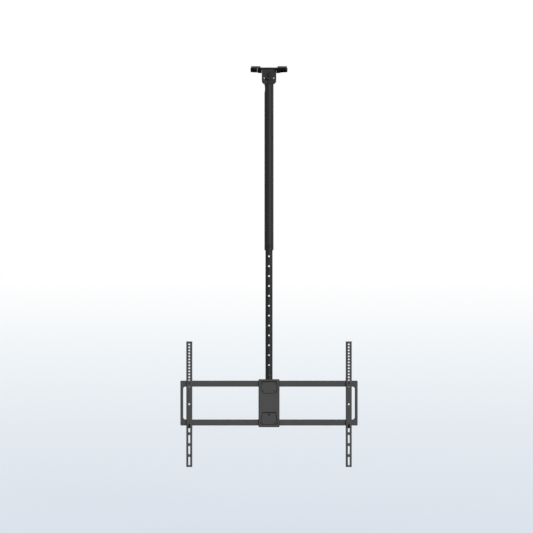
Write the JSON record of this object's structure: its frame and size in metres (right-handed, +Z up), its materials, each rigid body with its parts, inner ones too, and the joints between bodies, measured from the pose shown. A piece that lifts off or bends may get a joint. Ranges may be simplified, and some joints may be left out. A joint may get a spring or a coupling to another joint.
{
  "type": "tv ceiling mount",
  "caption": "Drop column for a large screen: ceiling plate with swivel and slope joint, telescopic tubes, tilting frame with sliding hooked arms.",
  "frame": {"origin": "on the column's axis at the ceiling's face", "axes": "+Z up along the column, the screen on the -Y side, +X to the right as the viewer sees it"},
  "size_m": [0.89, 0.145, 2.0147],
  "materials": {
    "black_steel": "black powder coat",
    "tube_steel": "satin black powder coat",
    "inner_steel": "satin black paint",
    "frame_steel": "fine black powder coat",
    "gloss_plastic": "glossy black",
    "black_bolt": "black zinc",
    "zinc": "zinc plated",
    "nylon": "black nylon"
  },
  "bodies": {
    "ceiling": {"ceiling_plate": "black_steel", "end_cover_left": "gloss_plastic", "end_cover_right": "gloss_plastic", "swivel_bolt": "black_bolt", "swivel_nut": "black_bolt", "swivel_washer": "nylon"},
    "yoke": {"swivel_disc": "black_steel", "yoke": "black_steel", "hinge_bolt": "black_bolt", "hinge_nut": "black_bolt", "hinge_washers": "black_bolt"},
    "outer_column": {"outer_tube": "tube_steel", "hinge_sleeve": "zinc", "slope_lock_sleeve": "zinc", "slope_lock_bolt": "black_bolt", "slope_lock_nut": "black_bolt", "lock_collar": "tube_steel", "lower_bush": "nylon", "height_lock_bolt": "black_bolt", "height_lock_nut": "black_bolt"},
    "inner_column": {"inner_tube": "inner_steel", "upper_bush": "nylon", "foot_bracket": "black_steel", "cross_bolts": "black_bolt", "cross_nuts": "black_bolt", "tilt_pivot_bolt": "black_bolt", "tilt_pivot_nut": "black_bolt", "tilt_pivot_sleeve": "zinc", "tilt_lock_bolt": "black_bolt", "tilt_lock_nut": "black_bolt", "tilt_lock_sleeve": "zinc"},
    "screen_frame": {"tilt_bracket": "black_steel", "back_plate": "black_steel", "top_rail": "frame_steel", "bottom_rail": "frame_steel", "centre_pan": "frame_steel", "pan_screws": "black_bolt", "pan_nuts": "zinc", "pan_spacers": "zinc", "end_plate_left": "frame_steel", "end_plate_right": "frame_steel"},
    "left_arm": {"arm_left": "frame_steel", "lock_tab_left": "black_steel", "thumb_screw_left": "black_bolt"},
    "right_arm": {"arm_right": "frame_steel", "lock_tab_right": "black_steel", "thumb_screw_right": "black_bolt"}
  },
  "joints": [
    {"name": "ceiling_swivel", "type": "hinge", "parent": "ceiling", "child": "yoke", "pos_m": [0, 0, -0.012], "axis": [0, 0, 1], "continuous": true},
    {"name": "slope_tilt", "type": "hinge", "parent": "yoke", "child": "outer_column", "pos_m": [0, 0, -0.042], "axis": [0, 1, 0], "range_deg": [-60, 60]},
    {"name": "height_slide", "type": "slide", "parent": "outer_column", "child": "inner_column", "axis": [0, 0, 1], "range_m": [0, 0.6]},
    {"name": "screen_tilt", "type": "hinge", "parent": "inner_column", "child": "screen_frame", "pos_m": [0, -0.044, -1.695], "axis": [1, 0, 0], "range_deg": [-5, 15]},
    {"name": "left_arm_slide", "type": "slide", "parent": "screen_frame", "child": "left_arm", "axis": [1, 0, 0], "range_m": [-0.005, 0.3]},
    {"name": "right_arm_slide", "type": "slide", "parent": "screen_frame", "child": "right_arm", "axis": [1, 0, 0], "range_m": [-0.3, 0.005]}
  ]
}
